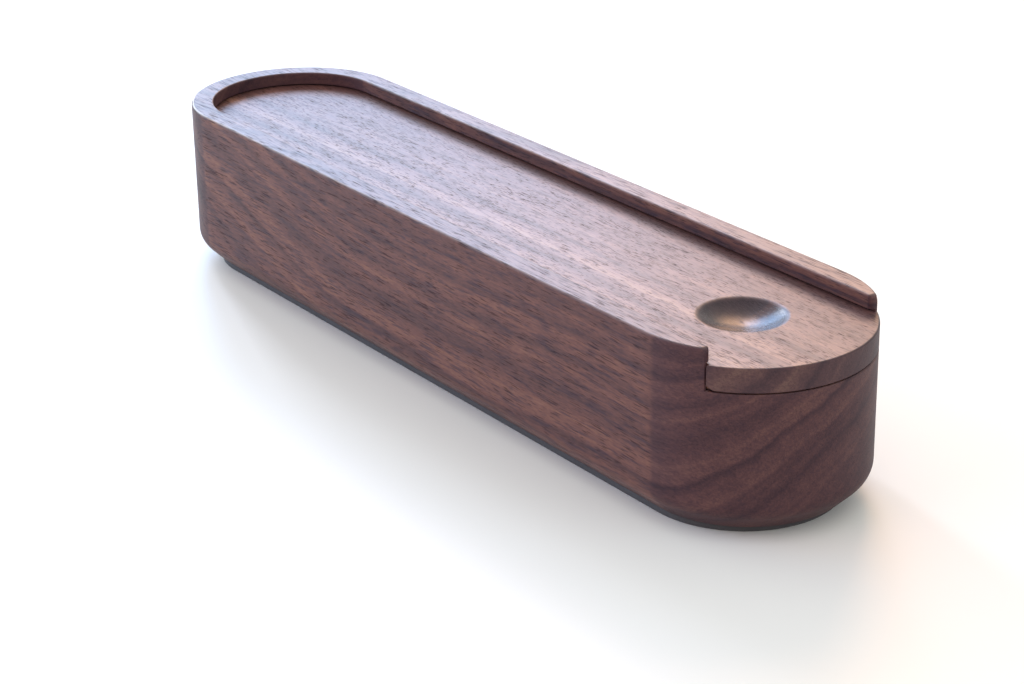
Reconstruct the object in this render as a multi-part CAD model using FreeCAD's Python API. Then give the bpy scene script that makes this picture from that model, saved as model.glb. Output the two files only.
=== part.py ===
import FreeCAD, Part
import math
import os

# A round-ended wooden pen box with a sliding lid. All sizes are in millimetres.
# +X runs along the box towards the end with the finger dimple, +Z is up, and the origin is on the
# table under the middle of the box. A break is the small 45 degree bevel that takes an edge's sharpness.

# Box
BOX_LENGTH = 213.0
BOX_WIDTH = 50.0
BOX_HEIGHT = 39.0
RIM_WIDTH = 5.2
RIM_ABOVE_LID = 3.2
RIM_OUTER_BREAK = 0.5
RIM_INNER_BREAK = 0.4
RIM_END_ROUND = 1.1

# Lower edge of the box: a chamfer, at this angle from the table, rounded where it meets the wall
FOOT_INSET = 4.3
FOOT_ANGLE = 45.0
FOOT_ROUND = 4.3

# Groove for the lid, undercut below the rim, and the wood left outside it where the rims end
GROOVE_DEPTH = 1.1
GROOVE_END_WALL = 0.5

# Trough for the pens, narrower than the groove by a ledge that the lid rests on
LEDGE_WIDTH = 2.4
TROUGH_FLOOR = 5.5
TROUGH_FLOOR_ROUND = 4.0
TROUGH_MOUTH_BREAK = 0.5

# Lid
LID_THICKNESS = 5.0
LID_EDGE_BREAK = 0.4
FRONT_EDGE_BREAK = 0.3
SHOULDER_NICK_LENGTH = 1.3
SHOULDER_NICK_HEIGHT = 1.0
SHOULDER_NICK_DEPTH = 0.8
DIMPLE_RADIUS = 8.75
DIMPLE_DEPTH = 2.4
DIMPLE_SETBACK = 26.3
DIMPLE_EDGE_BREAK = 0.3

# Clearances of the lid in the box
PLAY_UNDER_LID = 0.2
PLAY_OVER_LID = 0.4
PLAY_BESIDE_LID = 0.25
PLAY_AT_SHOULDER = 0.35

# Pad under the box
PAD_THICKNESS = 1.6
PAD_SIDE_SETBACK = 0.3
PAD_END_SETBACK = 1.4
PAD_EDGE_BREAK = 0.2

# How far a cutting shape runs past the wood that it cuts, and how near counts as the same place
RUN_PAST = 1.0
SAME_PLACE = 1e-4

# Heights, from the table up
BOX_BOTTOM = PAD_THICKNESS
LID_TOP = BOX_HEIGHT - RIM_ABOVE_LID
LID_BOTTOM = LID_TOP - LID_THICKNESS
SEAT = LID_BOTTOM - PLAY_UNDER_LID
GROOVE_TOP = LID_TOP + PLAY_OVER_LID
TROUGH_BOTTOM = BOX_BOTTOM + TROUGH_FLOOR

# Half widths, from the middle line out
END_RADIUS = BOX_WIDTH / 2
OPENING_RADIUS = END_RADIUS - RIM_WIDTH
GROOVE_RADIUS = OPENING_RADIUS + GROOVE_DEPTH
TROUGH_RADIUS = GROOVE_RADIUS - LEDGE_WIDTH
TONGUE_RADIUS = GROOVE_RADIUS - PLAY_BESIDE_LID
FOOT_RADIUS = END_RADIUS - FOOT_INSET
PAD_RADIUS = FOOT_RADIUS - PAD_SIDE_SETBACK

# Places along the box
TIP = BOX_LENGTH / 2
END_CENTRE = TIP - END_RADIUS
RIM_END = END_CENTRE + math.sqrt(END_RADIUS ** 2 - (GROOVE_RADIUS + GROOVE_END_WALL) ** 2)
SHOULDER = RIM_END + PLAY_AT_SHOULDER
PAD_TIP = TIP - FOOT_INSET - PAD_END_SETBACK

V = FreeCAD.Vector
UP = V(0, 0, 1)


def line(start, end):
    """Straight edge between two points of a profile, each given as (distance out, height)."""
    return Part.makeLine(V(start[0], 0, start[1]), V(end[0], 0, end[1]))


def arc(centre, radius, from_angle, to_angle):
    """Round edge of a profile; the angles are in degrees, from straight out towards straight up."""
    def point(angle):
        turn = math.radians(angle)
        return V(centre[0] + radius * math.cos(turn), 0, centre[1] + radius * math.sin(turn))
    return Part.Arc(point(from_angle), point((from_angle + to_angle) / 2), point(to_angle)).toShape()


def face_of(edges):
    """Flat face inside a closed run of edges."""
    return Part.Face(Part.Wire(edges))


def outline_face(points):
    """Flat face with straight sides between the points of a profile, each given as (distance out, height)."""
    return face_of([line(start, end) for start, end in zip(points, points[1:] + points[:1])])


def solid_of(shape):
    """One clean solid: seams between flush faces are merged and the outside is made to face out."""
    solid = shape.removeSplitter().Solids[0]
    if solid.Volume < 0:
        solid.reverse()
    return solid


def turned(face, angle, x):
    """Copy of a half profile, turned about the upright axis and moved along the box."""
    copy = face.copy()
    copy.rotate(V(0, 0, 0), UP, angle)
    copy.translate(V(x, 0, 0))
    return copy


def carry(face, back_x, front_x, round_front=True):
    """Carries a half profile along both sides and half a turn round the back, and round the front too."""
    run = V(front_x - back_x, 0, 0)
    left = turned(face, 90, back_x)
    right = turned(face, -90, back_x)
    lengths = [left.extrude(run), right.extrude(run), left.revolve(V(back_x, 0, 0), UP, 180)]
    if round_front:
        lengths.append(turned(face, -90, front_x).revolve(V(front_x, 0, 0), UP, 180))
    return solid_of(lengths[0].multiFuse(lengths[1:]))


def slab_profile(radius, bottom, top, edge_break):
    """Half profile of a flat slab whose two outer edges are broken."""
    return outline_face([
        (0, bottom),
        (radius - edge_break, bottom),
        (radius, bottom + edge_break),
        (radius, top - edge_break),
        (radius - edge_break, top),
        (0, top),
    ])


def box_profile():
    """Half profile of the outside: flat underside, chamfer, round, upright wall, broken rim."""
    slope = math.radians(FOOT_ANGLE)
    turn = 90.0 - FOOT_ANGLE
    corner = BOX_BOTTOM + FOOT_INSET * math.tan(slope)
    tangent = FOOT_ROUND * math.tan(math.radians(turn / 2))
    chamfer_top = (END_RADIUS - tangent * math.cos(slope), corner - tangent * math.sin(slope))
    wall_foot = (END_RADIUS, corner + tangent)
    wall_top = (END_RADIUS, BOX_HEIGHT - RIM_OUTER_BREAK)
    rim_edge = (END_RADIUS - RIM_OUTER_BREAK, BOX_HEIGHT)
    return face_of([
        line((0, BOX_BOTTOM), (FOOT_RADIUS, BOX_BOTTOM)),
        line((FOOT_RADIUS, BOX_BOTTOM), chamfer_top),
        arc((END_RADIUS - FOOT_ROUND, wall_foot[1]), FOOT_ROUND, -turn, 0),
        line(wall_foot, wall_top),
        line(wall_top, rim_edge),
        line(rim_edge, (0, BOX_HEIGHT)),
        line((0, BOX_HEIGHT), (0, BOX_BOTTOM)),
    ])


def trough_cutter():
    """The hollow that holds the pens, with a round along its floor's edge and a broken mouth."""
    top = BOX_HEIGHT + RUN_PAST
    round_centre = (TROUGH_RADIUS - TROUGH_FLOOR_ROUND, TROUGH_BOTTOM + TROUGH_FLOOR_ROUND)
    wall_top = (TROUGH_RADIUS, SEAT - TROUGH_MOUTH_BREAK)
    mouth = TROUGH_RADIUS + TROUGH_MOUTH_BREAK
    profile = face_of([
        line((0, TROUGH_BOTTOM), (round_centre[0], TROUGH_BOTTOM)),
        arc(round_centre, TROUGH_FLOOR_ROUND, -90, 0),
        line((TROUGH_RADIUS, round_centre[1]), wall_top),
        line(wall_top, (mouth, SEAT)),
        line((mouth, SEAT), (mouth, top)),
        line((mouth, top), (0, top)),
        line((0, top), (0, TROUGH_BOTTOM)),
    ])
    return carry(profile, -END_CENTRE, END_CENTRE)


def opening_cutter():
    """The opening between the rims, with broken upper edges, round at the back and open at the front."""
    top = BOX_HEIGHT + RUN_PAST
    edge = OPENING_RADIUS + RIM_INNER_BREAK
    profile = outline_face([
        (0, SEAT),
        (OPENING_RADIUS, SEAT),
        (OPENING_RADIUS, BOX_HEIGHT - RIM_INNER_BREAK),
        (edge, BOX_HEIGHT),
        (edge, top),
        (0, top),
    ])
    return carry(profile, -END_CENTRE, TIP + RUN_PAST, round_front=False)


def groove_cutter():
    """The undercut that the lid's long edges run in."""
    profile = outline_face([(0, SEAT), (GROOVE_RADIUS, SEAT), (GROOVE_RADIUS, GROOVE_TOP), (0, GROOVE_TOP)])
    return carry(profile, -END_CENTRE, TIP + RUN_PAST, round_front=False)


def front_cutter():
    """The cut square to the length that ends the rims and clears the seat of the lid's front end."""
    top = BOX_HEIGHT + RUN_PAST
    far = TIP + RUN_PAST
    round_start = RIM_END - RIM_END_ROUND
    profile = face_of([
        line((RIM_END, SEAT), (RIM_END, BOX_HEIGHT - RIM_END_ROUND)),
        arc((round_start, BOX_HEIGHT - RIM_END_ROUND), RIM_END_ROUND, 0, 90),
        line((round_start, BOX_HEIGHT), (round_start, top)),
        line((round_start, top), (far, top)),
        line((far, top), (far, SEAT)),
        line((far, SEAT), (RIM_END, SEAT)),
    ])
    side = END_RADIUS + RUN_PAST
    profile.translate(V(0, -side, 0))
    return profile.extrude(V(0, 2 * side, 0))


def circle_edges(solid, radius, height):
    """Edges of a solid that lie on a level circle of this radius at this height."""
    found = []
    for edge in solid.Edges:
        if not isinstance(edge.Curve, Part.Circle) or abs(edge.Curve.Radius - radius) > SAME_PLACE:
            continue
        if all(abs(vertex.Z - height) < SAME_PLACE for vertex in edge.Vertexes):
            found.append(edge)
    return found


def case_body():
    """The box, cut from one block: outside, trough, opening, groove, and the seat at the front."""
    block = carry(box_profile(), -END_CENTRE, END_CENTRE)
    for cutter in (trough_cutter(), opening_cutter(), groove_cutter(), front_cutter()):
        block = block.cut(cutter)
    block = solid_of(block)
    return block.makeChamfer(FRONT_EDGE_BREAK, circle_edges(block, END_RADIUS, SEAT))


def lid_front():
    """The lid's front end: a segment of the box's own round outline, at the lid's full thickness."""
    profile = slab_profile(END_RADIUS, LID_BOTTOM, LID_TOP, FRONT_EDGE_BREAK)
    disc = profile.revolve(V(0, 0, 0), UP, 360)
    disc.translate(V(END_CENTRE, 0, 0))
    keep = Part.makeBox(TIP, BOX_WIDTH, BOX_HEIGHT, V(SHOULDER, -END_RADIUS, 0))
    return disc.common(keep)


def shoulder_nick(side):
    """The nick that relieves a shoulder's lower corner, on one side of the lid."""
    nick = outline_face([
        (SHOULDER, LID_BOTTOM),
        (SHOULDER + SHOULDER_NICK_LENGTH, LID_BOTTOM),
        (SHOULDER, LID_BOTTOM + SHOULDER_NICK_HEIGHT),
    ])
    inner = TONGUE_RADIUS - SHOULDER_NICK_DEPTH
    nick.translate(V(0, side * inner, 0))
    return nick.extrude(V(0, side * (END_RADIUS - inner), 0))


def dimple_cutter():
    """The ball whose lowest cap scoops the finger dimple. Its axis lies level, clear of the cap."""
    ball_radius = (DIMPLE_RADIUS ** 2 + DIMPLE_DEPTH ** 2) / (2 * DIMPLE_DEPTH)
    centre = V(TIP - DIMPLE_SETBACK, 0, LID_TOP - DIMPLE_DEPTH + ball_radius)
    return Part.makeSphere(ball_radius, centre, V(1, 0, 0))


def sliding_lid():
    """The lid: a tongue that runs in the groove, a full-width front end and a finger dimple."""
    tongue_profile = slab_profile(TONGUE_RADIUS, LID_BOTTOM, LID_TOP, LID_EDGE_BREAK)
    tongue = carry(tongue_profile, -END_CENTRE, SHOULDER, round_front=False)
    lid = tongue.fuse(lid_front())
    for side in (-1, 1):
        lid = lid.cut(shoulder_nick(side))
    lid = solid_of(lid.cut(dimple_cutter()))
    return lid.makeChamfer(DIMPLE_EDGE_BREAK, circle_edges(lid, DIMPLE_RADIUS, LID_TOP))


def base_pad():
    """The thin non-slip pad glued to the flat underside."""
    profile = slab_profile(PAD_RADIUS, 0.0, PAD_THICKNESS, PAD_EDGE_BREAK)
    return carry(profile, PAD_RADIUS - PAD_TIP, PAD_TIP - PAD_RADIUS)


def main():
    os.makedirs("parts", exist_ok=True)
    pieces = {"case_body": case_body(), "sliding_lid": sliding_lid(), "base_pad": base_pad()}
    for name, shape in pieces.items():
        solid = shape.Solids[0]
        solid.exportStep(f"parts/{name}.step")
        box = solid.optimalBoundingBox()
        print(f"{name}: valid {solid.isValid()}, {len(shape.Solids)} solid, {solid.Volume:.1f} mm3, "
              f"{box.XLength:.2f} x {box.YLength:.2f} x {box.ZLength:.2f} mm")


main()
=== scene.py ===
import logging
import math
from dataclasses import dataclass
from enum import Enum

import bmesh
import bpy
import numpy as np
from mathutils import Matrix, Vector


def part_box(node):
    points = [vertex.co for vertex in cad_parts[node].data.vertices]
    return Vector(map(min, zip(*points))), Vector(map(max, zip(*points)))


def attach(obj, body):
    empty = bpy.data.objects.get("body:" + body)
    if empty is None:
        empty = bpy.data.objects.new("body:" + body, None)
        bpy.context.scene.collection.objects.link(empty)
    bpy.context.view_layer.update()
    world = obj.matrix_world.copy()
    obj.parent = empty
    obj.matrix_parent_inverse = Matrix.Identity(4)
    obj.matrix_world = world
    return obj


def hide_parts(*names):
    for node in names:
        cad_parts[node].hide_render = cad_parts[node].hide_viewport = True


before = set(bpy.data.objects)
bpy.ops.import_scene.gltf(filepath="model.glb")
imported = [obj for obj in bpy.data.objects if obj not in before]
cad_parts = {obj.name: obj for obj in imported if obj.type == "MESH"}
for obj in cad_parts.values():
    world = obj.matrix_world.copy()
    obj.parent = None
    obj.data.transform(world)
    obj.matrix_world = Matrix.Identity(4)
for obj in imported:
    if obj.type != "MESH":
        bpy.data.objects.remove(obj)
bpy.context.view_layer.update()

# A round-ended walnut pen box with a sliding lid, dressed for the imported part. Sizes are in metres,
# +X runs towards the end with the finger dimple, and +Z is up. Lengths that differ by less than CLOSE
# count as equal, ROUND_STEPS is the number of straight pieces in a small round, and a point times
# ACROSS is its mirror image on the box's other side.

MM = 0.001
CLOSE = 1e-9
ROUND_STEPS = 4
ACROSS = np.array([1.0, -1.0, 1.0])
log = logging.getLogger("pen_box")

Triple = tuple[float, float, float]
Stops = tuple[tuple[float, tuple[float, ...]], ...]
Socket = bpy.types.NodeSocket


class Body(Enum):
    """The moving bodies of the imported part."""

    CASE = "case"
    LID = "lid"


class Slot(Enum):
    """The record's material slots."""

    WALNUT_BODY = "walnut_body"
    WALNUT_LID = "walnut_lid"
    PAD = "pad"


class Blend(Enum):
    """How two colours are put together."""

    MIX = "MIX"
    MULTIPLY = "MULTIPLY"


class Between(Enum):
    """How a colour between two stops of a scale is worked out."""

    STRAIGHT = "LINEAR"
    EASED = "EASE"


def round_over(radius: float) -> np.ndarray:
    """A quarter round from top to side, as insets and drops: radius times (1 - sin a, 1 - cos a)."""
    a = np.linspace(0.0, np.pi / 2, ROUND_STEPS + 1)
    return radius * np.column_stack([1 - np.sin(a), 1 - np.cos(a)])


def places(x: np.ndarray, y: np.ndarray, z: np.ndarray) -> np.ndarray:
    """Points from three arrays of coordinates that broadcast together."""
    return np.stack(np.broadcast_arrays(x, y, z), axis=-1)


def mirrored(half: np.ndarray) -> np.ndarray:
    """A closed loop: the half on the +Y side, from front tip to back tip, then its mirror image back."""
    return np.concatenate([half, half[-2::-1] * ACROSS])


class Skin:
    """One closed surface, gathered as grids and polygons of points and then welded."""

    WELD = 1e-7

    def __init__(self) -> None:
        """Starts with no patches."""
        self.points: list[np.ndarray] = []
        self.quads: list[np.ndarray] = []
        self.polygons: list[np.ndarray] = []
        self.count = 0

    def take(self, points: np.ndarray) -> np.ndarray:
        """Adds points and numbers them.

        Args:
            points: An array of shape (..., 3).

        Returns:
            The points' numbers, of shape (...).
        """
        flat = points.reshape(-1, 3)
        first = self.count
        self.points.append(flat)
        self.count += len(flat)
        return (first + np.arange(len(flat))).reshape(points.shape[:-1])

    def grid(self, points: np.ndarray) -> None:
        """Adds a patch of quads, one for each cell of a grid of points.

        Args:
            points: An array of shape (rows, columns, 3).
        """
        n = self.take(points)
        cells = np.stack([n[:-1, :-1], n[1:, :-1], n[1:, 1:], n[:-1, 1:]], axis=-1)
        self.quads.append(cells.reshape(-1, 4))

    def polygon(self, points: np.ndarray) -> None:
        """Adds one flat face round a run of points."""
        self.polygons.append(self.take(points))

    def welded(self) -> tuple[np.ndarray, list[list[int]]]:
        """Merges points that coincide and drops the faces that this leaves without area.

        Returns:
            The points, and the faces as lists of point numbers.
        """
        points = np.concatenate(self.points)
        cells = np.round(points / self.WELD)
        _, first, number = np.unique(cells, axis=0, return_index=True, return_inverse=True)
        number = number.reshape(-1)
        quads = number[np.concatenate(self.quads)]
        same = quads == np.roll(quads, -1, axis=1)
        crossed = (quads[:, 0] == quads[:, 2]) | (quads[:, 1] == quads[:, 3])
        whole = quads[(same.sum(1) == 0) & ~crossed]
        pinched = (same.sum(1) == 1) & ~crossed
        triangles = [np.delete(quads[pinched & same[:, side]], side, axis=1) for side in range(4)]
        faces = whole.tolist() + np.concatenate(triangles).tolist()
        for polygon in self.polygons:
            ring = number[polygon]
            faces.append(ring[ring != np.roll(ring, -1)].tolist())
        return points[first], faces

    def build(self, name: str, smooth_below: float = 40.0) -> bpy.types.Object:
        """Makes the object, with faces outward and sharp edges marked.

        Args:
            name: Name of the piece.
            smooth_below: Faces that meet at less than this many degrees are shaded as one.

        Returns:
            The new object, at the origin.
        """
        points, faces = self.welded()
        mesh = bpy.data.meshes.new(name)
        mesh.from_pydata(points.tolist(), [], faces)
        shell = bmesh.new()
        shell.from_mesh(mesh)
        bmesh.ops.recalc_face_normals(shell, faces=shell.faces)
        loose = [v for v in shell.verts if not v.link_faces]
        bmesh.ops.delete(shell, geom=loose, context="VERTS")
        open_edges = sum(not edge.is_manifold for edge in shell.edges)
        if open_edges or shell.calc_volume(signed=True) <= 0:
            raise ValueError(f"{name} isn't a closed shell that faces outward: {open_edges} open edges")
        shell.to_mesh(mesh)
        shell.free()
        mesh.validate()
        mesh.shade_smooth()
        mesh.set_sharp_from_angle(angle=math.radians(smooth_below))
        piece = bpy.data.objects.new(name, mesh)
        bpy.context.scene.collection.objects.link(piece)
        weighted = piece.modifiers.new("even shading", "WEIGHTED_NORMAL")
        weighted.keep_sharp = True
        weighted.weight = 100
        log.info("%s: %d faces, %d points", name, len(mesh.polygons), len(mesh.vertices))
        return piece


def place_piece(
    piece: bpy.types.Object, body: Body, node: str, finish: bpy.types.Material
) -> None:
    """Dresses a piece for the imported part.

    Args:
        piece: The piece.
        body: The body that it rides on.
        node: The CAD node that it stands for.
        finish: Its material.
    """
    piece.data.materials.append(finish)
    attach(piece, body.value)
    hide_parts(node)


@dataclass(frozen=True)
class Path:
    """The round-ended path that the box's profiles are carried along.

    It is held as its half on the +Y side, from the front tip round the front end, straight back
    along the side, and round the back end to the back tip. Angles are the front end's stations,
    seen from the end's centre, and runs is the number of straight pieces of the side.
    """

    end_centre: float
    angles: np.ndarray
    runs: int = 12
    back_steps: int = 34

    def stations(self) -> tuple[np.ndarray, np.ndarray]:
        """Where each station stands, and which way is out from it.

        Returns:
            x of each station's centre, (n,), and its outward direction, (n, 2).
        """
        side = np.linspace(1.0, -1.0, self.runs + 1)[1:-1]
        back = np.linspace(np.pi / 2, np.pi, self.back_steps + 1)
        turn = np.concatenate([self.angles, np.full(len(side), np.pi / 2), back])
        centre = np.concatenate([np.ones(len(self.angles)), side, -np.ones(len(back))]) * self.end_centre
        out = np.column_stack([np.cos(turn), np.sin(turn)])
        out[np.abs(out) < CLOSE] = 0.0
        return centre, out

    def carry(self, radius: np.ndarray, height: np.ndarray) -> np.ndarray:
        """Carries a profile along the half path: centre + radius times the way out, at each height."""
        centre, out = self.stations()
        return places(centre[:, None] + radius * out[:, :1], radius * out[:, 1:], height)


def flat_between(half_edge: np.ndarray) -> np.ndarray:
    """A flat patch from the +Y side's edge to its mirror image, as a grid of two columns."""
    return np.stack([half_edge, half_edge * ACROSS], axis=1)


@dataclass(frozen=True)
class Case:
    """The routed block: its outside, rim, undercut groove, lid seat and pen trough."""

    bottom: float
    top: float
    tip: float
    end_radius: float
    rim_width: float = 5.2 * MM
    rim_above_lid: float = 3.2 * MM
    rim_outer_round: float = 0.6 * MM
    rim_inner_round: float = 0.45 * MM
    rim_end_round: float = 1.1 * MM
    foot_inset: float = 4.3 * MM
    foot_round: float = 4.3 * MM
    foot_edge_round: float = 0.25 * MM
    foot_slope: float = 45.0
    groove_depth: float = 1.1 * MM
    groove_end_wall: float = 0.5 * MM
    lid_thickness: float = 5.0 * MM
    play_under_lid: float = 0.2 * MM
    play_over_lid: float = 0.4 * MM
    ledge_width: float = 2.4 * MM
    trough_floor: float = 5.5 * MM
    trough_floor_round: float = 4.0 * MM
    trough_mouth_round: float = 0.5 * MM
    seat_edge_round: float = 0.3 * MM
    seat_edge_fade: float = 2.5 * MM
    arc_steps: int = 26
    rim_end_steps: int = 8
    foot_steps: int = 8
    toe_steps: int = 3
    trough_steps: int = 12

    @property
    def end_centre(self) -> float:
        """x of the centre of the front end's outline."""
        return self.tip - self.end_radius

    @property
    def lid_top(self) -> float:
        """Height of the shut lid's face."""
        return self.top - self.rim_above_lid

    @property
    def seat(self) -> float:
        """Height of the ledge that the lid rests on."""
        return self.lid_top - self.lid_thickness - self.play_under_lid

    @property
    def opening_radius(self) -> float:
        """Half the opening between the rims."""
        return self.end_radius - self.rim_width

    @property
    def groove_radius(self) -> float:
        """Half the width of the groove under the rims."""
        return self.opening_radius + self.groove_depth

    @property
    def rim_end(self) -> float:
        """x of the square cut where the rims end."""
        reach = self.groove_radius + self.groove_end_wall
        return self.end_centre + math.sqrt(self.end_radius**2 - reach**2)

    def outline_y(self, x: np.ndarray, inset: np.ndarray) -> np.ndarray:
        """Half width of the inset outline: the root of (radius - inset) squared less (x - centre) squared."""
        return np.sqrt((self.end_radius - inset) ** 2 - (x - self.end_centre) ** 2)

    def path(self) -> tuple[Path, int]:
        """The path of the outline, with the station at the rim's end given twice.

        Returns:
            The path, and the number of the second of those two stations.
        """
        full = self.rim_end - self.end_centre
        last = math.acos(full / self.end_radius)
        start = math.acos((full - self.rim_end_round) / self.end_radius)
        open_end = np.linspace(0.0, last, self.arc_steps)
        drop = np.linspace(np.pi / 2, 0.0, self.rim_end_steps + 1)
        rounded = np.arccos((full - self.rim_end_round * (1 - np.sin(drop))) / self.end_radius)
        rounded[0], rounded[-1] = last, start
        side = np.linspace(start, np.pi / 2, self.arc_steps // 2)[1:]
        angles = np.concatenate([open_end, rounded, side])
        return Path(self.end_centre, angles), len(open_end)

    def outside(self, path: Path, rim: int) -> tuple[np.ndarray, np.ndarray]:
        """Radius and height of the outside from the underside's edge up to the seat's level.

        The foot is a 45 degree chamfer with a round above it and a small one below it. The
        upright wall ends in a small round that fades out where the rims begin.

        Args:
            path: The path that the profile is carried along.
            rim: Number of the first station that has a rim.

        Returns:
            Two arrays of shape (stations, k).
        """
        slope = math.radians(self.foot_slope)
        reach = self.foot_round * math.tan(slope / 2)
        turn = np.linspace(-slope, 0.0, self.foot_steps + 1)
        corner = self.bottom + self.foot_inset
        foot = np.column_stack([
            self.end_radius - self.foot_round * (1 - np.cos(turn)),
            corner + reach + self.foot_round * np.sin(turn),
        ])
        toe_reach = self.foot_edge_round * math.tan(slope / 2)
        toe_turn = np.linspace(-np.pi / 2, -slope, self.toe_steps + 1)
        toe = np.column_stack([
            self.end_radius - self.foot_inset - toe_reach + self.foot_edge_round * np.cos(toe_turn),
            self.bottom + self.foot_edge_round * (1 + np.sin(toe_turn)),
        ])
        rise = np.concatenate([toe, foot])
        centre, out = path.stations()
        ahead = centre + self.end_radius * out[:, 0] - self.rim_end
        share = np.clip(ahead / self.seat_edge_fade, 0.0, 1.0)
        fade = share**2 * (3 - 2 * share)
        fade[rim:] = 0.0
        edge = round_over(self.seat_edge_round)[::-1]
        radius = np.broadcast_to(rise[:, 0], (len(fade), len(rise)))
        height = np.broadcast_to(rise[:, 1], (len(fade), len(rise)))
        radius = np.concatenate([radius, self.end_radius - fade[:, None] * edge[:, 0]], axis=1)
        height = np.concatenate([height, self.seat - fade[:, None] * edge[:, 1]], axis=1)
        return radius, height

    def rim_sections(self, path: Path, rim: int) -> np.ndarray:
        """The rim's wall, top, opening and groove, down to the ledge.

        Round the back and along the sides a section stands square to the path. Round the front
        end it stands square to the length, because the opening runs straight on there: its outer
        points are at outline_y and its inner ones at their own distance from the middle. The top
        falls along a quarter round towards the rim's end, and the wall thins to the groove's along
        a quarter of an ellipse.

        Args:
            path: The path that the outline follows.
            rim: Number of the first station that has a rim.

        Returns:
            Points of shape (stations, k, 3) for the half on the +Y side.
        """
        outer = round_over(self.rim_outer_round)[::-1]
        inner = round_over(self.rim_inner_round)
        centre, out = (part[rim:] for part in path.stations())
        x = centre + self.end_radius * out[:, 0]
        past = np.clip(x - (self.rim_end - self.rim_end_round), 0.0, self.rim_end_round)
        top = self.top - self.rim_end_round + np.sqrt(self.rim_end_round**2 - past**2)
        top = top[:, None]
        front = (centre > self.end_centre - CLOSE) & (out[:, 0] > CLOSE)
        level = np.concatenate([
            np.full_like(top, self.seat),
            top - outer[:, 1],
            top - inner[:, 1],
            np.full_like(top, self.lid_top + self.play_over_lid),
            np.full_like(top, self.lid_top + self.play_over_lid),
            np.full_like(top, self.seat),
        ], axis=1)
        inset = np.concatenate([[0.0], outer[:, 0]])
        reach = np.concatenate([
            self.opening_radius + inner[:, 0],
            [self.opening_radius, self.groove_radius, self.groove_radius],
        ])
        radius = np.concatenate([self.end_radius - inset, reach])
        swept = places(centre[:, None] + radius * out[:, :1], radius * out[:, 1:], level)
        outer_y = self.outline_y(x[front, None], inset)
        thinned = self.groove_depth / self.rim_end_round * (self.top - top[front])
        wide = np.broadcast_to(reach, (front.sum(), len(reach))).copy()
        # The last three points are the foot of the opening and the groove's two corners.
        wide[:, :-3] = np.minimum(wide[:, :-3] + thinned, outer_y[:, -1:])
        wide[:, -3] += thinned[:, 0]
        side = np.concatenate([outer_y, wide], axis=1)
        swept[front] = places(x[front, None], side, level[front])
        return swept

    def build(self) -> bpy.types.Object:
        """Makes the whole block as one closed skin.

        Returns:
            The block.
        """
        path, rim = self.path()
        skin = Skin()
        outside = path.carry(*self.outside(path, rim))
        skin.grid(mirrored(outside))
        skin.grid(flat_between(outside[:, 0]))

        sections = self.rim_sections(path, rim)
        skin.grid(mirrored(sections))
        for side in (np.ones(3), ACROSS):
            skin.polygon(sections[0] * side)

        mouth = round_over(self.trough_mouth_round)
        floor_turn = np.linspace(0.0, -np.pi / 2, self.trough_steps + 1)
        trough_radius = self.groove_radius - self.ledge_width
        floor = self.bottom + self.trough_floor
        radius = np.concatenate([
            trough_radius + mouth[:, 0],
            trough_radius - self.trough_floor_round * (1 - np.cos(floor_turn)),
        ])
        height = np.concatenate([
            self.seat - mouth[:, 1],
            floor + self.trough_floor_round * (1 + np.sin(floor_turn)),
        ])
        trough = path.carry(radius, height)
        skin.grid(mirrored(trough))
        skin.grid(flat_between(trough[:, -1]))

        ledge_edge = np.concatenate([outside[:rim, -1], sections[:, -1]])
        skin.grid(mirrored(np.stack([ledge_edge, trough[:, 0]], axis=1)))
        return skin.build("walnut_case")

    def dress(self, finish: bpy.types.Material) -> None:
        """Builds the block and dresses it."""
        place_piece(self.build(), Body.CASE, "case_body", finish)


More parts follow.
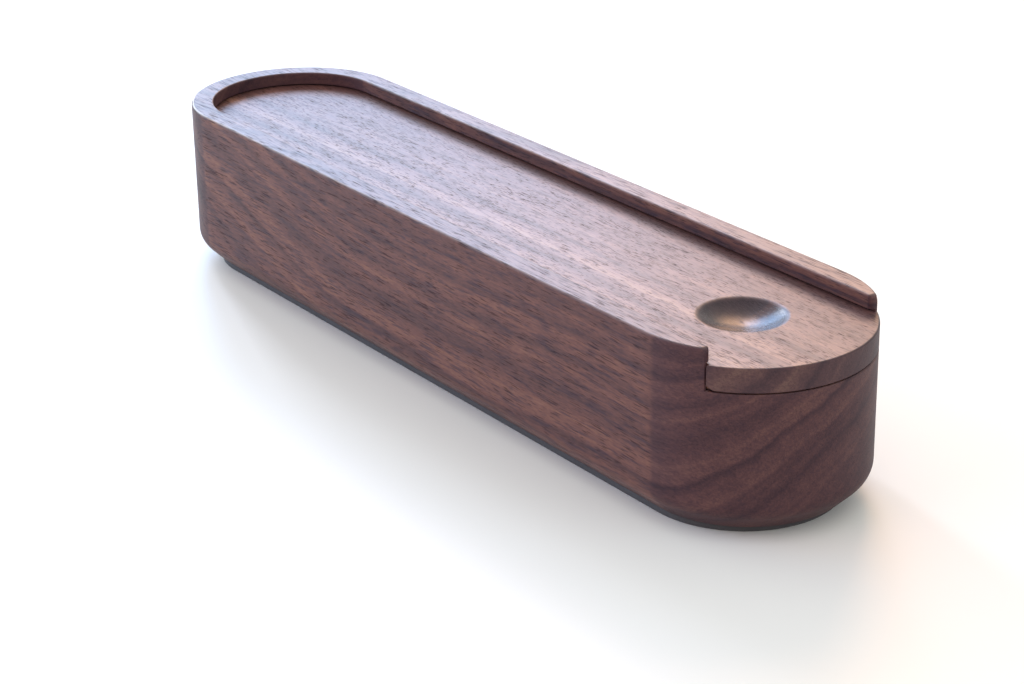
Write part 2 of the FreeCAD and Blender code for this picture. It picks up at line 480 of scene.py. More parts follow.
@dataclass(frozen=True)
class Lid:
    """The sliding lid: a tongue for the groove, a full-width front end and a finger dimple."""

    case: Case
    play_beside: float = 0.25 * MM
    play_at_shoulder: float = 0.35 * MM
    edge_round: float = 0.4 * MM
    front_edge_round: float = 0.35 * MM
    nick_length: float = 1.3 * MM
    nick_height: float = 1.0 * MM
    nick_depth: float = 0.8 * MM
    dimple_radius: float = 8.75 * MM
    dimple_depth: float = 2.4 * MM
    dimple_setback: float = 26.3 * MM
    dimple_edge: float = 0.5 * MM
    draw_in: float = 1.2 * MM
    turn_in: float = 0.955
    rear_reach: float = 14.2 * MM
    rear_columns: int = 17
    arc_steps: int = 28
    nick_steps: int = 5
    side_steps: int = 12
    rear_steps: int = 9
    back_steps: int = 34
    dimple_edge_steps: int = 6
    bowl_steps: int = 14

    @property
    def tongue_radius(self) -> float:
        """Half the width of the tongue."""
        return self.case.groove_radius - self.play_beside

    @property
    def shoulder(self) -> float:
        """x of the shoulders, where the lid becomes as wide as the box."""
        return self.case.rim_end + self.play_at_shoulder

    @property
    def bottom(self) -> float:
        """Height of the lid's underside."""
        return self.case.lid_top - self.case.lid_thickness

    @property
    def dimple_x(self) -> float:
        """x of the middle of the dimple."""
        return self.case.tip - self.dimple_setback

    def edge(self, size: float) -> tuple[np.ndarray, np.ndarray]:
        """Inset and height of a rounded edge, from the underside to the face.

        Args:
            size: Radius of the rounds at its two corners.

        Returns:
            Two arrays of equal length. The point after the lower round is level with the top of
            the nick.
        """
        curve = round_over(size)
        inset = np.concatenate([curve[:, 0], [0.0], curve[::-1, 0]])
        height = np.concatenate([
            self.bottom + curve[:, 1],
            [self.bottom + self.nick_height],
            self.case.lid_top - curve[::-1, 1],
        ])
        return inset, height

    def front(self) -> np.ndarray:
        """Edge of the front end from the tip to the shoulder.

        A point set in by d lies on the circle of radius R - d, at the station's angle times the
        ratio of the angles at which the two circles meet the shoulder. Where the nick relieves
        the shoulder's lower corner, points are raised to its sloping face.

        Returns:
            Points of shape (stations, k, 3).
        """
        case = self.case
        inset, height = self.edge(self.front_edge_round)
        reach = self.shoulder - case.end_centre
        radius = case.end_radius - inset
        nick = math.acos((reach + self.nick_length) / case.end_radius)
        last = math.acos(reach / case.end_radius)
        ahead = np.linspace(0.0, nick, self.arc_steps)
        turn = np.concatenate([ahead, np.linspace(nick, last, self.nick_steps + 1)[1:]])
        angle = turn[:, None] * (np.arccos(reach / radius) / last)
        x = case.end_centre + radius * np.cos(angle)
        x[-1] = self.shoulder
        y = radius * np.sin(angle)
        y[0] = 0.0
        return places(x, y, np.maximum(height, self.nick_face(x, y)))

    def nick_face(self, x: np.ndarray, y: np.ndarray) -> np.ndarray:
        """Height of the lid's underside, raised inside the nick.

        Args:
            x: Places along the box.
            y: Distances from the middle.

        Returns:
            The underside's height, plus a rise that falls evenly from the shoulder to the nick's end.
        """
        share = np.clip(1 - (x - self.shoulder) / self.nick_length, 0.0, 1.0)
        inside = np.abs(y) >= self.tongue_radius - self.nick_depth - CLOSE
        return self.bottom + self.nick_height * share * inside

    def tongue(self) -> np.ndarray:
        """Edge of the tongue from the shoulder to the back tip.

        The sides run straight, and the back is the half circle of the tongue's own radius.

        Returns:
            Points of shape (stations, k, 3).
        """
        inset, height = self.edge(self.edge_round)
        centre = self.case.end_centre
        seam = self.dimple_x - self.rear_reach
        side = np.concatenate([
            np.linspace(self.shoulder, seam, self.side_steps + 1),
            np.linspace(seam, -centre, self.rear_steps + 1)[1:-1],
        ])
        turn = np.linspace(np.pi / 2, np.pi, self.back_steps + 1)[:, None]
        radius = self.tongue_radius - inset
        straight = places(side[:, None], radius, height)
        x = -centre + radius * np.cos(turn)
        y = radius * np.sin(turn)
        y[-1] = 0.0
        return np.concatenate([straight, places(x, y, height)])

    def underside(self, edge: np.ndarray, raised: bool) -> np.ndarray:
        """The underside between an edge and its mirror image, with columns beside the nicks.

        Args:
            edge: Lowest edge points of the +Y side, (stations, 3).
            raised: Whether the outer columns follow the nick's face.

        Returns:
            Points of shape (stations, columns, 3), from +Y to -Y.
        """
        x, y = edge[:, 0], edge[:, 1]
        inner = np.minimum(self.tongue_radius - self.nick_depth, y)
        column = places(x, inner, self.bottom)
        lifted = places(x, inner, self.nick_face(x, inner)) if raised else column
        corner = np.minimum(self.tongue_radius, y)
        wide = places(x, corner, self.nick_face(x, corner)) if raised else edge
        half = np.stack([edge, wide, lifted, column], axis=1)
        return np.concatenate([half, half[:, ::-1] * ACROSS], axis=1)

    def dimple(self, loop: np.ndarray) -> np.ndarray:
        """The lid's face round the dimple and the dimple itself, as rings about its middle.

        Each ring has one point for each point of the loop, at that point's own angle as seen from
        the middle. The bowl's depth at radius r is that of a ball of radius (a squared + d
        squared) / 2d, and its edge is a quadratic curve that meets the face and the bowl without
        a corner.

        Args:
            loop: The loop round the rings, (n, 3), closed.

        Returns:
            Points of shape (n, rings, 3).
        """
        a, d = self.dimple_radius, self.dimple_depth
        ball = (a * a + d * d) / (2 * d)
        face = self.case.lid_top
        floor = face - d + ball
        start, stop = a + self.dimple_edge, a - self.dimple_edge
        t = np.linspace(0.0, 1.0, self.dimple_edge_steps + 1)
        stop_height = floor - math.sqrt(ball**2 - stop**2)
        slope = stop / math.sqrt(ball**2 - stop**2)
        control = stop + (face - stop_height) / slope
        edge_r = (1 - t) ** 2 * start + 2 * t * (1 - t) * control + t**2 * stop
        edge_z = (1 - t**2) * face + t**2 * stop_height
        bowl_r = stop * np.sin(np.linspace(np.pi / 2, 0.0, self.bowl_steps + 1))[1:]
        bowl_z = floor - np.sqrt(ball**2 - bowl_r**2)
        bowl_r[-1] = 0.0
        radius = np.concatenate([edge_r, bowl_r])
        height = np.concatenate([edge_z, bowl_z])
        turn = np.arctan2(loop[:, 1], loop[:, 0] - self.dimple_x)[:, None]
        rings = places(self.dimple_x + radius * np.cos(turn), radius * np.sin(turn), height)
        return np.concatenate([loop[:, None], rings], axis=1)

    def drawn_in(self, front: np.ndarray, side: np.ndarray, seam: np.ndarray) -> np.ndarray:
        """A loop a little inside the edge of the lid's face, which the dimple's rings can reach.

        The shoulders make a small step in the edge. The front's points move in along their
        circle's radius and turn towards the tip by a fixed share, so that the last one clears the
        step. The side's points move in by the same distance, and the seam's towards the dimple.

        Args:
            front: Edge points from the tip to the shoulder.
            side: Edge points from the shoulder to the seam.
            seam: Points across the lid at the seam, from +Y to -Y.

        Returns:
            A closed loop with a point for each point of the edge.
        """
        centre = self.case.end_centre
        turn = np.arctan2(front[:, 1], front[:, 0] - centre) * self.turn_in
        radius = self.case.end_radius - self.front_edge_round - self.draw_in
        ahead = places(centre + radius * np.cos(turn), radius * np.sin(turn), front[:, 2])
        beside = places(side[:, 0], ahead[-1, 1], side[:, 2])
        across = seam * np.array([1.0, ahead[-1, 1] / seam[0, 1], 1.0])
        across += np.array([self.draw_in, 0.0, 0.0])
        half = np.concatenate([ahead, beside])
        return np.concatenate([half, across, half[::-1] * ACROSS])

    def build(self) -> bpy.types.Object:
        """Makes the whole lid as one closed skin.

        Returns:
            The lid.
        """
        skin = Skin()
        front, tongue = self.front(), self.tongue()
        for part, raised in ((front, True), (tongue, False)):
            skin.grid(part)
            skin.grid(part * ACROSS)
            skin.grid(self.underside(part[:, 0], raised))

        seam = int(np.argmin(np.abs(tongue[:, -1, 0] - (self.dimple_x - self.rear_reach))))
        edge = tongue[seam:, -1]
        spread = np.arctan2(edge[0, 1], self.rear_reach)
        across = np.tan(np.linspace(spread, -spread, self.rear_columns)) / math.tan(spread)
        across[[0, -1]] = (1.0, -1.0)
        rear = places(edge[:, :1], edge[:, 1:2] * across, edge[:, 2:])
        skin.grid(rear)

        half = np.concatenate([front[:, -1], tongue[:seam, -1]])
        outer = np.concatenate([half, rear[0], half[::-1] * ACROSS])
        inner_loop = self.drawn_in(front[:, -1], tongue[:seam, -1], rear[0])
        skin.grid(np.stack([outer, inner_loop], axis=1))
        skin.grid(self.dimple(inner_loop))

        nick = ROUND_STEPS + 1
        inner = self.tongue_radius - self.nick_depth
        level = self.bottom + self.nick_height
        outer_edge, tongue_edge = front[-1], tongue[0]
        corner = np.array([[self.shoulder, self.tongue_radius, level]])
        inside = np.array([[self.shoulder, inner, self.bottom], [self.shoulder, inner, level]])
        for side in (np.ones(3), ACROSS):
            skin.polygon(np.concatenate([inside[:1], tongue_edge[:nick], corner, inside[1:]]) * side)
            skin.polygon(np.concatenate([corner, outer_edge, tongue_edge[:nick:-1]]) * side)
        return skin.build("walnut_sliding_lid")

    def dress(self, finish: bpy.types.Material) -> None:
        """Builds the lid and dresses it."""
        place_piece(self.build(), Body.LID, "sliding_lid", finish)


@dataclass(frozen=True)
class Pad:
    """The thin non-slip pad under the box."""

    tip: float
    radius: float
    thickness: float
    edge_round: float = 0.25 * MM
    arc_steps: int = 34

    def build(self) -> bpy.types.Object:
        """Makes the pad as one closed skin: an upright edge with two rounds, and two flat faces.

        Returns:
            The pad.
        """
        curve = round_over(self.edge_round)
        inset = np.concatenate([curve[:, 0], curve[::-1, 0]])
        height = np.concatenate([curve[:, 1], self.thickness - curve[::-1, 1]])
        path = Path(self.tip - self.radius, np.linspace(0.0, np.pi / 2, self.arc_steps + 1))
        edge = path.carry(self.radius - inset, height)
        skin = Skin()
        skin.grid(mirrored(edge))
        skin.grid(flat_between(edge[:, 0]))
        skin.grid(flat_between(edge[:, -1]))
        return skin.build("rubber_pad")

    def dress(self, finish: bpy.types.Material) -> None:
        """Builds the pad and dresses it."""
        place_piece(self.build(), Body.CASE, "base_pad", finish)


@dataclass(frozen=True)
class Grain:
    """A layer of noise in a finish.

    Its patches measure about size along x, y and z, in millimetres. Detail is the number of its
    finer layers, and roughness how strong each is against the one before it. Weight is how much
    of the noise is added to what it varies.
    """

    size: Triple
    detail: float = 2.0
    weight: float = 1.0
    roughness: float = 0.55


class Bench:
    """Puts shader nodes together in one material."""

    def __init__(self, name: str) -> None:
        """Makes an empty material with a principled shader.

        Args:
            name: Name of the material.
        """
        self.material = bpy.data.materials.new(name)
        self.material.use_nodes = True
        self.tree = self.material.node_tree
        self.shader = self.tree.nodes["Principled BSDF"]

    def node(self, kind: str, links: dict[str | int, object], **settings: object) -> bpy.types.Node:
        """Adds a node.

        Args:
            kind: Blender's name for the node, without its ShaderNode prefix.
            links: What each input takes: another node's output, or a value.
            settings: The node's own settings.

        Returns:
            The new node.
        """
        node = self.tree.nodes.new("ShaderNode" + kind)
        for name, value in settings.items():
            setattr(node, name, value)
        for socket, value in links.items():
            self.feed(node.inputs[socket], value)
        return node

    def feed(self, socket: Socket, value: object) -> None:
        """Links an output to an input, or sets the input's own value.

        Args:
            socket: The input.
            value: Another node's output, or a value.
        """
        if isinstance(value, bpy.types.NodeSocket):
            self.tree.links.new(value, socket)
        else:
            socket.default_value = value

    def finish(self, **inputs: object) -> bpy.types.Material:
        """Feeds the principled shader's inputs.

        Args:
            inputs: What each input takes, with an underscore for each space in the input's name.

        Returns:
            The finished material.
        """
        for name, value in inputs.items():
            self.feed(self.shader.inputs[name.replace("_", " ")], value)
        return self.material

    def point(self) -> Socket:
        """The point that is shaded, in Object coordinates, in millimetres."""
        metres = self.node("TexCoord", {}).outputs["Object"]
        return self.vector("MULTIPLY", metres, (1 / MM, 1 / MM, 1 / MM))

    def maths(self, operation: str, *values: object, clamp: bool = False) -> Socket:
        """The result of a sum on one, two or three numbers."""
        links = dict(enumerate(values))
        return self.node("Math", links, operation=operation, use_clamp=clamp).outputs[0]

    def vector(self, operation: str, *values: object) -> Socket:
        """The result of a sum on vectors."""
        return self.node("VectorMath", dict(enumerate(values)), operation=operation).outputs["Vector"]

    def more(self, base: object, value: object, weight: float, clamp: bool = False) -> Socket:
        """A number plus weight times another."""
        return self.maths("MULTIPLY_ADD", value, weight, base, clamp=clamp)

    def vary(self, base: object, noise: object, weight: float, clamp: bool = False) -> Socket:
        """A number plus weight times how far a noise is from its middle, 0.5."""
        return self.more(base, self.maths("SUBTRACT", noise, 0.5), weight, clamp)

    def ramp(
        self, value: object, low: float, high: float, to_low: float = 0.0, to_high: float = 1.0
    ) -> Socket:
        """A smooth step of a number, from to_low at low to to_high at high."""
        links = {"Value": value, "From Min": low, "From Max": high, "To Min": to_low, "To Max": to_high}
        return self.node("MapRange", links, interpolation_type="SMOOTHSTEP").outputs["Result"]

    def scale(self, value: object, stops: Stops, between: Between = Between.STRAIGHT) -> Socket:
        """Turns a number from 0 to 1 into a colour.

        Args:
            value: The number.
            stops: Positions and their colours, in rising order.
            between: How colours between two stops are worked out.

        Returns:
            The colour.
        """
        node = self.node("ValToRGB", {0: value})
        node.color_ramp.interpolation = between.value
        elements = node.color_ramp.elements
        ends = [elements[0], elements[-1]]
        for stop, (position, colour) in zip(ends, (stops[0], stops[-1])):
            stop.position = position
            stop.color = (*colour, 1.0)
        for position, colour in stops[1:-1]:
            elements.new(position).color = (*colour, 1.0)
        return node.outputs["Color"]

    def mix(self, share: object, first: object, second: object, blend: Blend = Blend.MIX) -> Socket:
        """Puts two colours together.

        Args:
            share: How much the second colour tells, from 0 to 1.
            first: The first colour.
            second: The second colour.
            blend: How they are put together.

        Returns:
            The colour.
        """
        node = self.tree.nodes.new("ShaderNodeMix")
        node.data_type = "RGBA"
        node.blend_type = blend.value
        inputs = [socket for socket in node.inputs if socket.enabled]
        for socket, value in zip(inputs, (share, first, second)):
            self.feed(socket, value)
        return next(socket for socket in node.outputs if socket.enabled)

    def shaded(self, colour: object, shade: Triple) -> Socket:
        """A colour times a shade."""
        return self.mix(1.0, colour, (*shade, 1.0), Blend.MULTIPLY)

    def noise(self, point: object, grain: Grain, output: str = "Fac") -> Socket:
        """Noise about 0.5.

        Args:
            point: Where, in millimetres.
            grain: The layer of noise.
            output: Which of the node's outputs to take: Fac, a number, or Color, three numbers.

        Returns:
            The output.
        """
        scaled = self.vector("MULTIPLY", point, tuple(1.0 / s for s in grain.size))
        links = {"Vector": scaled, "Scale": 1.0, "Detail": grain.detail, "Roughness": grain.roughness}
        return self.node("TexNoise", links).outputs[output]


@dataclass(frozen=True)
class Figure:
    """The wood's fields at the point that is shaded, each a node's output.

    Tone is the lightness. Cut is 1 where the face cuts across the grain, and bare is 0 inside the
    part that fingers polish, which is also given painted shade, and 1 outside it. Up is the normal's z. All
    but up run from 0 to 1.
    """

    tone: Socket
    fibre: Socket
    nap: Socket
    streak: Socket
    pore: Socket
    cut: Socket
    up: Socket
    bare: Socket | None


@dataclass(frozen=True)
class Walnut:
    """Oiled walnut as a solid texture, so that every face is a cut through the same wood.

    Lengths are in millimetres. A ring's radius at (x, y, z) is the distance of (y, z) from the
    pith, less the arch: bow times (square root of (x - crest) squared + bend squared,
    less bend), plus lean times (x - crest). The rings so run along the length in a long curve.
    Each ring has a tone from 0, dark heartwood, to 1, light.
    """

    name: str
    pith: tuple[float, float]
    rings: tuple[tuple[float, float], ...]
    bow: float = 0.128
    lean: float = -0.121
    crest: float = -28.0
    bend: float = 12.0
    offset: Triple = (0.0, 0.0, 0.0)

    colours: Stops = (
        (0.0, (0.040, 0.018, 0.023)),
        (0.3, (0.080, 0.034, 0.034)),
        (0.6, (0.139, 0.057, 0.048)),
        (0.85, (0.202, 0.087, 0.062)),
        (1.0, (0.248, 0.116, 0.074)),
    )
    streak_colour: Triple = (0.034, 0.018, 0.032)
    pore_colour: Triple = (0.022, 0.012, 0.014)
    # Across the grain the colour is darkened and cooled: partly end grain's own darkness, partly painted
    # shade for the sheen that long grain has and end grain loses.
    end_grain_and_painted_shade: Triple = (0.62, 0.66, 0.84)
    # Painted shade: how much darker and cooler the dimple's hollow is painted.
    painted_dimple_shade: Triple = (0.50, 0.56, 0.70)

    sway: Grain = Grain((62.5, 20.0, 20.0), 1.0, 2.4, 0.5)
    wander: Grain = Grain((45.0, 9.0, 9.0), 2.0, 3.0)
    ripple_length: float = 1.25
    ripple_detail: float = 3.0
    ripple_weight: float = 0.3
    fibre: Grain = Grain((22.0, 0.45, 0.45), 3.0, 0.42)
    band: Grain = Grain((60.0, 2.4, 2.4), 2.0, 0.28)
    nap: Grain = Grain((1.6, 0.32, 0.32), 1.0, 0.45)
    cloud: Grain = Grain((12.0, 6.0, 6.0), 2.0, 0.3)
    streaks: Grain = Grain((8.0, 0.9, 0.9), 2.0, 0.68)
    streak_limits: tuple[float, float] = (0.48, 0.62)
    hairs: Grain = Grain((4.5, 0.25, 0.25), 1.0)
    hair_limits: tuple[float, float] = (0.38, 0.60)
    hair_floor: float = 0.2
    pores: Grain = Grain((4.0, 0.24, 0.24), 1.0, 0.6)
    pore_limits: tuple[float, float] = (0.57, 0.69)
    crowd: Grain = Grain((20.0, 4.0, 4.0), 2.0, 0.2)
    cut_limits: tuple[float, float] = (0.05, 0.12)
    cut_fade: float = 0.6

    roughness: float = 0.45
    fibre_roughness: float = 0.10
    pore_roughness: float = 0.25
    cut_roughness: float = 0.06
    handled_gloss: float = 0.24
    specular: float = 0.2

    top_coat: float = 0.95
    coat_roughness: float = 0.40
    coat_limits: tuple[float, float] = (0.5, 0.95)
    coat_handled: float = 0.3
    coat_level: float = 0.9
    coat_by_tone: float = 0.35
    coat_off_pores: float = 0.6
    coat_off_streaks: float = 0.7

    pore_depth: float = 0.03
    nap_height: float = 0.02
    fibre_height: float = 0.008
    relief: float = 0.5

    polished: Triple | None = None
    polish_radius: float = 9.0
    polish_edge: float = 1.2

    def ring_tone(self, b: Bench, point: object) -> Socket:
        """How light the ring is that passes through a point.

        Args:
            b: The bench that the nodes are put together on.
            point: The point, in millimetres.

        Returns:
            A number from 0 to 1.
        """
        x, y, z = b.node("SeparateXYZ", {0: point}).outputs
        along = b.maths("SUBTRACT", x, self.crest)
        reach = b.maths("SQRT", b.maths("MULTIPLY_ADD", along, along, self.bend**2))
        arch = b.maths("SUBTRACT", reach, self.bend)
        drift = b.more(b.maths("MULTIPLY", arch, self.bow), along, self.lean)
        dy = b.maths("SUBTRACT", y, self.pith[0])
        dz = b.maths("SUBTRACT", z, self.pith[1])
        radius = b.maths("SQRT", b.maths("MULTIPLY_ADD", dy, dy, b.maths("MULTIPLY", dz, dz)))
        radius = b.maths("SUBTRACT", radius, drift)
        radius = b.vary(radius, b.noise(point, self.wander), self.wander.weight)
        low, high = self.rings[0][0], self.rings[-1][0]
        share = b.maths("DIVIDE", b.maths("SUBTRACT", radius, low), high - low)
        stops = tuple(((r - low) / (high - low), (tone,) * 3) for r, tone in self.rings)
        ring = b.scale(share, stops, Between.EASED)
        pitch = b.maths("MULTIPLY", radius, 1.0 / self.ripple_length)
        links = {"W": pitch, "Scale": 1.0, "Detail": self.ripple_detail}
        ripple = b.node("TexNoise", links, noise_dimensions="1D").outputs["Fac"]
        return b.vary(ring, ripple, self.ripple_weight, clamp=True)

    def swayed(self, b: Bench, point: object) -> Socket:
        """A point moved a little across the grain, so that no ring runs quite straight.

        The shift along y and z is sway's weight times how far a slow noise is from 0.5.

        Args:
            b: The bench that the nodes are put together on.
            point: The point, in millimetres.

        Returns:
            The moved point.
        """
        slow = b.vector("SUBTRACT", b.noise(point, self.sway, "Color"), (0.5, 0.5, 0.5))
        shift = b.vector("MULTIPLY", slow, (0.0, self.sway.weight, self.sway.weight))
        return b.vector("ADD", point, shift)

    def figure(self, b: Bench) -> Figure:
        """Works out the wood's fields at the point that is shaded.

        The tone is the ring's, varied by fibre, bands, nap and clouds. Streaks are clusters of
        hairs, and pores are short vessels that crowd together in places. Both are fainter where
        the face cuts across the grain.

        Args:
            b: The bench that the nodes are put together on.

        Returns:
            The fields.
        """
        here = b.point()
        point = self.swayed(b, b.vector("ADD", here, self.offset))
        normal = b.node("SeparateXYZ", {0: b.node("TexCoord", {}).outputs["Normal"]}).outputs

        fibre = b.noise(point, self.fibre)
        nap = b.noise(point, self.nap)
        tone = b.vary(self.ring_tone(b, point), fibre, self.fibre.weight)
        tone = b.vary(tone, b.noise(point, self.band), self.band.weight)
        tone = b.vary(tone, nap, self.nap.weight)
        tone = b.vary(tone, b.noise(point, self.cloud), self.cloud.weight, clamp=True)

        cut = b.ramp(b.maths("ABSOLUTE", normal[0]), *self.cut_limits)
        plain = b.more(1.0, cut, -self.cut_fade)
        cluster = b.ramp(b.noise(point, self.streaks), *self.streak_limits)
        hair = b.ramp(b.noise(point, self.hairs), *self.hair_limits, self.hair_floor)
        streak = b.maths("MULTIPLY", b.maths("MULTIPLY", cluster, hair), self.streaks.weight)
        crowded = b.vary(b.noise(point, self.pores), b.noise(point, self.crowd), self.crowd.weight)
        pore = b.ramp(crowded, *self.pore_limits)

        bare = None
        if self.polished:
            away = b.node("VectorMath", {0: here, 1: self.polished}, operation="DISTANCE")
            edge = self.polish_radius - self.polish_edge
            bare = b.ramp(away.outputs["Value"], edge, self.polish_radius)
        return Figure(
            tone=tone,
            fibre=fibre,
            nap=nap,
            streak=b.maths("MULTIPLY", streak, plain),
            pore=b.maths("MULTIPLY", pore, plain),
            cut=cut,
            up=normal[2],
            bare=bare,
        )

    def colour(self, b: Bench, figure: Figure) -> Socket:
        """The colour: the tone's, darker in streaks and pores; across the grain partly end grain's own
        darkness and partly painted shade; and painted shade in the dimple.

        Args:
            b: The bench that the nodes are put together on.
            figure: The wood's fields.

        Returns:
            The colour.
        """
        colour = b.mix(figure.streak, b.scale(figure.tone, self.colours), (*self.streak_colour, 1.0))
        filled = b.maths("MULTIPLY", figure.pore, self.pores.weight)
        colour = b.mix(filled, colour, (*self.pore_colour, 1.0))
        # End grain: partly the wood's own darker end grain, partly painted shade and a cool tint for the
        # sheen it loses.
        colour = b.mix(figure.cut, colour, b.shaded(colour, self.end_grain_and_painted_shade))
        # Painted shade: inside the polished part the dimple is darkened and cooled.
        if figure.bare is not None:
            colour = b.mix(figure.bare, b.shaded(colour, self.painted_dimple_shade), colour)
        return colour

    def rough(self, b: Bench, figure: Figure) -> Socket:
        """The roughness: more in pores and across the grain, less where handled.

        Args:
            b: The bench that the nodes are put together on.
            figure: The wood's fields.

        Returns:
            The roughness.
        """
        rough = b.vary(self.roughness, figure.fibre, self.fibre_roughness)
        rough = b.more(rough, figure.pore, self.pore_roughness)
        rough = b.more(rough, figure.cut, self.cut_roughness)
        if figure.bare is not None:
            rough = b.more(rough, b.maths("SUBTRACT", 1.0, figure.bare), -self.handled_gloss)
        return rough

    def coat(self, b: Bench, figure: Figure) -> Socket:
        """The weight of the oil's coat: on faces that look up, less in open grain and where handled.

        Args:
            b: The bench that the nodes are put together on.
            figure: The wood's fields.

        Returns:
            The weight.
        """
        rubbed = b.maths("MULTIPLY", b.ramp(figure.up, *self.coat_limits), self.top_coat)
        if figure.bare is not None:
            left = b.more(self.coat_handled, figure.bare, 1.0 - self.coat_handled)
            rubbed = b.maths("MULTIPLY", rubbed, left)
        closed = b.more(1.0, figure.pore, -self.coat_off_pores)
        closed = b.more(closed, figure.streak, -self.coat_off_streaks, clamp=True)
        closed = b.maths("MULTIPLY", closed, b.vary(self.coat_level, figure.tone, self.coat_by_tone))
        return b.maths("MULTIPLY", rubbed, closed)

    def bumps(self, b: Bench, figure: Figure) -> Socket:
        """The normal over the surface's relief: pores sink, and nap and fibre stand up.

        Args:
            b: The bench that the nodes are put together on.
            figure: The wood's fields.

        Returns:
            The normal.
        """
        height = b.more(b.maths("MULTIPLY", figure.fibre, self.fibre_height), figure.nap, self.nap_height)
        height = b.more(height, figure.pore, -self.pore_depth)
        bump = b.node("Bump", {"Height": height, "Strength": self.relief, "Distance": MM})
        return bump.outputs["Normal"]

    def make(self) -> bpy.types.Material:
        """Puts the material together.

        Returns:
            The material.
        """
        b = Bench(self.name)
        figure = self.figure(b)
        return b.finish(
            Base_Color=self.colour(b, figure),
            Roughness=self.rough(b, figure),
            Coat_Weight=self.coat(b, figure),
            Normal=self.bumps(b, figure),
            Specular_IOR_Level=self.specular,
            Coat_Roughness=self.coat_roughness,
        )


@dataclass(frozen=True)
class Rubber:
    """Matt moulded rubber with a fine pebbled skin and a slow change of shade."""

    name: str
    colour: Triple = (0.055, 0.05, 0.055)
    roughness: float = 0.7
    pebble: Grain = Grain((0.5, 0.5, 0.5), 2.0, 0.3)
    patch: Grain = Grain((9.0, 9.0, 9.0), 2.0, 0.5)
    relief: float = 0.3
    pebble_height: float = 0.05 * MM

    def make(self) -> bpy.types.Material:
        """Puts the material together.

        Returns:
            The material.
        """
        b = Bench(self.name)
        point = b.point()
        pebble = b.noise(point, self.pebble)
        shade = b.vary(1.0, b.noise(point, self.patch), self.patch.weight)
        grey = b.node("CombineColor", {0: shade, 1: shade, 2: shade}).outputs["Color"]
        links = {"Height": pebble, "Strength": self.relief, "Distance": self.pebble_height}
        return b.finish(
            Base_Color=b.mix(1.0, (*self.colour, 1.0), grey, Blend.MULTIPLY),
            Roughness=b.vary(self.roughness, pebble, self.pebble.weight),
            Normal=b.node("Bump", links).outputs["Normal"],
        )


@dataclass(frozen=True)
class Softbox:
    """A large soft light that faces the box, at an azimuth from +X and an elevation, in degrees."""

    name: str
    azimuth: float
    elevation: float
    width: float
    height: float
    radiance: Triple
    distance: float = 1.6

    def hang(self) -> None:
        """Makes the light. Its power is its radiance times its area times pi."""
        data = bpy.data.lights.new(self.name, "AREA")
        data.shape = "RECTANGLE"
        data.size, data.size_y = self.width, self.height
        peak = max(self.radiance)
        data.color = tuple(part / peak for part in self.radiance)
        data.energy = peak * self.width * self.height * math.pi
        light = bpy.data.objects.new(self.name, data)
        azimuth, elevation = math.radians(self.azimuth), math.radians(self.elevation)
        level = math.cos(elevation)
        away = Vector((math.cos(azimuth) * level, math.sin(azimuth) * level, math.sin(elevation)))
        light.location = away * self.distance
        light.rotation_euler = away.to_track_quat("Z", "Y").to_euler()
        bpy.context.scene.collection.objects.link(light)


@dataclass(frozen=True)
class Studio:
    """The floor, the light and the camera."""

    lens: float = 86.955
    sensor: float = 36.0
    near: float = 0.01
    eye: Triple = (0.407342, -0.287965, 0.215236)
    forward: Triple = (-0.74829, 0.53549, -0.39154)
    up: Triple = (-0.30958, 0.24012, 0.92005)
    floor_colour: Triple = (0.83, 0.815, 0.79)
    floor_roughness: float = 0.42
    floor_reach: float = 4.0
    room: Triple = (0.80, 0.81, 0.77)
    softboxes: tuple[Softbox, ...] = (
        Softbox("window_edge", 168.0, 22.0, 0.2, 0.8, (17.0, 19.0, 23.0)),
        Softbox("window_left", 150.0, 28.0, 0.55, 0.6, (2.2, 3.9, 6.7)),
        Softbox("window_right", 135.0, 34.0, 0.55, 0.6, (5.9, 3.3, 1.8)),
        Softbox("behind", 190.0, 20.0, 0.8, 0.7, (2.5, 3.4, 3.4)),
        Softbox("sky_left", 216.0, 14.0, 0.7, 0.5, (3.0, 6.0, 9.2)),
        Softbox("room_left", -105.0, 35.0, 1.1, 1.0, (1.6, 1.15, 1.5)),
        Softbox("room_front", -35.0, 45.0, 1.1, 1.0, (0.62, 0.62, 0.58)),
        Softbox("room_right", 25.0, 30.0, 1.1, 1.0, (0.68, 0.8, 0.95)),
    )

    def camera(self) -> None:
        """Sets the camera at the photograph's place and angle."""
        data = bpy.data.cameras.new("camera")
        data.lens = self.lens
        data.sensor_width = self.sensor
        data.clip_start = self.near
        camera = bpy.data.objects.new("camera", data)
        forward = Vector(self.forward).normalized()
        right = forward.cross(Vector(self.up)).normalized()
        up = right.cross(forward)
        turn = Matrix((right, up, -forward)).transposed()
        camera.matrix_world = Matrix.Translation(self.eye) @ turn.to_4x4()
        bpy.context.scene.collection.objects.link(camera)
        bpy.context.scene.camera = camera

    def floor(self) -> None:
        """Lays the pale, slightly glossy floor."""
        b = Bench("white_floor")
        finish = b.finish(Base_Color=(*self.floor_colour, 1.0), Roughness=self.floor_roughness)
        mesh = bpy.data.meshes.new("floor")
        reach = self.floor_reach
        corners = [(-reach, -reach, 0), (reach, -reach, 0), (reach, reach, 0), (-reach, reach, 0)]
        mesh.from_pydata(corners, [], [(0, 1, 2, 3)])
        floor = bpy.data.objects.new("floor", mesh)
        floor.data.materials.append(finish)
        bpy.context.scene.collection.objects.link(floor)

    def lights(self) -> None:
        """Lights the scene softly from a pale room and its softboxes."""
        world = bpy.data.worlds.new("room")
        bpy.context.scene.world = world
        world.use_nodes = True
        background = world.node_tree.nodes["Background"]
        background.inputs["Color"].default_value = (*self.room, 1.0)
        background.inputs["Strength"].default_value = 1.0
        for softbox in self.softboxes:
            softbox.hang()


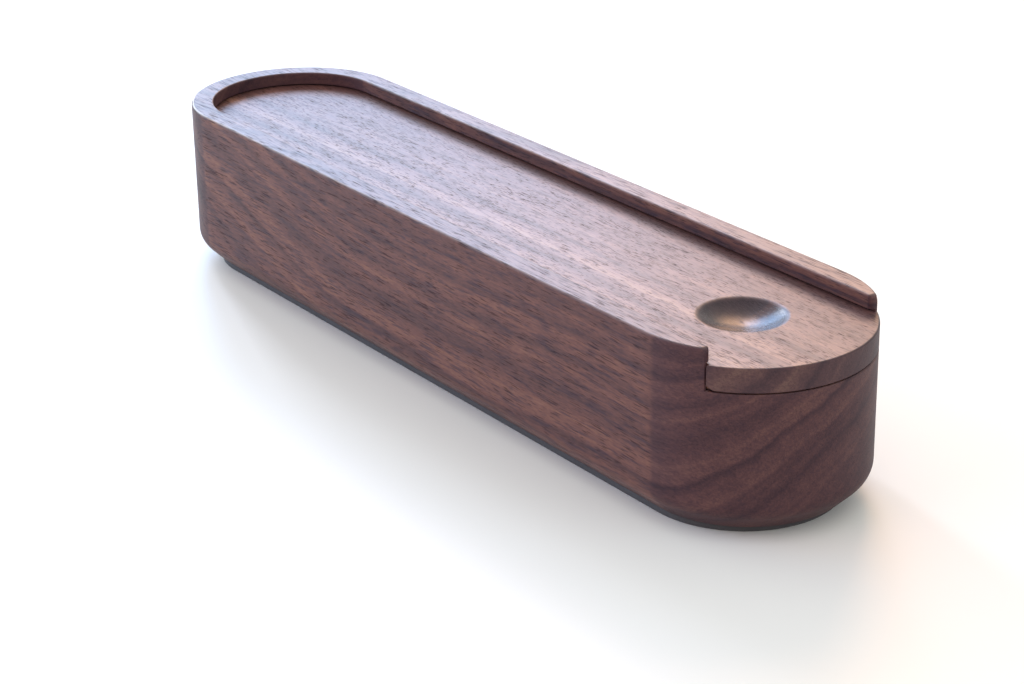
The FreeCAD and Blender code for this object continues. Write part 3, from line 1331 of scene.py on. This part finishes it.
def main() -> None:
    """Builds the box's pieces in order, then the room round them."""
    logging.basicConfig(level=logging.INFO, format="%(message)s")
    low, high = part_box("case_body")
    case = Case(bottom=low.z, top=high.z, tip=high.x, end_radius=high.y)
    lid = Lid(case)
    _, pad_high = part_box("base_pad")
    pad = Pad(tip=pad_high.x, radius=pad_high.y, thickness=pad_high.z)
    block = Walnut(
        "walnut_block",
        pith=(51.0, -62.0),
        rings=(
            (58.0, 0.45), (66.0, 0.52), (74.0, 0.42), (80.0, 0.5), (85.0, 0.42), (89.0, 0.52),
            (92.6, 0.58), (94.8, 0.5), (96.2, 0.3), (97.8, 0.5), (98.8, 0.43), (101.2, 0.67),
            (103.2, 0.55), (104.5, 0.33), (105.4, 0.62), (107.2, 0.71), (108.8, 0.5), (110.4, 0.37),
            (111.8, 0.4), (112.8, 0.54), (114.2, 0.67), (115.4, 0.54), (116.3, 0.37), (117.6, 0.52),
            (119.6, 0.64), (121.0, 0.36), (122.6, 0.52), (125.0, 0.44), (128.0, 0.52), (134.0, 0.42),
        ),
    )
    board = Walnut(
        "walnut_board",
        pith=(160.0, -43.0),
        rings=(
            (134.0, 0.4), (139.0, 0.35), (143.0, 0.5), (147.5, 0.5), (151.0, 0.65), (154.2, 0.55),
            (155.2, 0.34), (156.2, 0.6), (159.2, 0.9), (161.8, 0.55), (162.8, 0.34), (163.8, 0.65),
            (166.0, 0.9), (170.0, 0.5), (176.0, 0.4),
        ),
        bow=0.012,
        lean=0.0,
        crest=245.0,
        bend=20.0,
        offset=(230.0, 40.0, 17.0),
        streaks=Grain((5.0, 0.9, 0.9), 2.0, 0.68),
        pores=Grain((2.0, 0.24, 0.24), 1.0, 0.6),
        streak_colour=(0.07, 0.033, 0.031),
        # The lid's ends get a darker, bluer painted shade, standing in for a cool reflection, on top of end
        # grain's own darkness.
        end_grain_and_painted_shade=(0.50, 0.55, 0.74),
        top_coat=0.77,
        specular=0.3,
        polished=(lid.dimple_x / MM, 0.0, case.lid_top / MM),
    )
    case.dress(block.make())
    lid.dress(board.make())
    pad.dress(Rubber("pad_rubber").make())
    studio = Studio()
    studio.floor()
    studio.lights()
    studio.camera()
    bpy.context.scene.view_settings.view_transform = "Standard"


if __name__ == "__main__":
    main()
